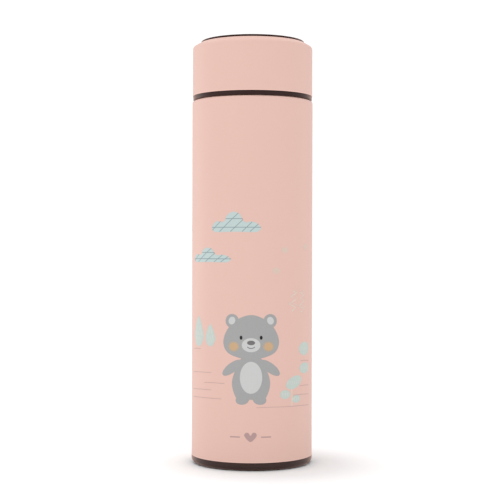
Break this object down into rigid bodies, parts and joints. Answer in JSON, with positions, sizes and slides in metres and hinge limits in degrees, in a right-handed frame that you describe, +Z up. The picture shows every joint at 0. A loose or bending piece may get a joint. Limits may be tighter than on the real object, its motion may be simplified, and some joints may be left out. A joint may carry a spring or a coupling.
{
  "type": "insulated baby flask",
  "caption": "Double-walled steel flask for warm water or milk, with a lift-out strainer and a screw lid that shows the temperature.",
  "frame": {"origin": "centre of the foot ring's underside, on the surface that the flask stands on", "axes": "+Z up along the flask's axis to the lid; -Y is the printed front"},
  "size_m": [0.066, 0.066, 0.2305],
  "materials": {
    "painted_steel": "satin powder coat, fine grain",
    "bare_steel": "brushed and electropolished stainless steel",
    "dark_plastic": "fine satin moulded polypropylene",
    "silicone": "matt translucent white silicone",
    "dark_silicone": "matt dark silicone",
    "panel_gloss": "gloss black touch panel",
    "circuit_green": "solder-masked laminate",
    "chip_black": "moulded epoxy",
    "display_white": "moulded reflector",
    "cell_steel": "nickel-plated steel can",
    "foam_white": "closed-cell foam",
    "adhesive_black": "foam tape",
    "glass_bead": "fused solder glass",
    "getter_grey": "sintered powder",
    "fastener_zinc": "zinc-plated steel"
  },
  "bodies": {
    "flask": {"outer_shell": "painted_steel", "liner": "bare_steel", "liner_bottom": "bare_steel", "outer_bottom": "bare_steel", "seal_bead": "glass_bead", "getter": "getter_grey", "base_cup": "dark_plastic", "foot_ring": "dark_silicone"},
    "strainer": {"strainer_cup": "bare_steel", "strainer_screen": "bare_steel", "strainer_ring": "silicone"},
    "lid_seal_ring": {"lid_seal": "silicone"},
    "lid": {"lid_core": "dark_plastic", "lid_sleeve": "painted_steel", "top_bezel": "dark_plastic", "touch_panel": "panel_gloss", "panel_gasket": "adhesive_black", "display_module": "display_white", "circuit_board": "circuit_green", "board_screws": "fastener_zinc", "controller_chip": "chip_black", "touch_spring": "cell_steel", "battery": "cell_steel", "battery_clip": "fastener_zinc", "plug_foam": "foam_white", "probe_plate": "bare_steel", "probe_seal": "silicone", "thermistor": "chip_black", "sensor_leads": "dark_silicone"}
  },
  "joints": [
    {"name": "strainer_lift", "type": "slide", "parent": "flask", "child": "strainer", "axis": [0, 0, 1], "range_m": [0, 0.08]},
    {"name": "lid_lift", "type": "slide", "parent": "strainer", "child": "lid_seal_ring", "axis": [0, 0, 1], "range_m": [0, 0.06]},
    {"name": "lid_turn", "type": "hinge", "parent": "lid_seal_ring", "child": "lid", "pos_m": [0, 0, 0.206], "axis": [0, 0, 1], "range_deg": [0, 360]}
  ]
}
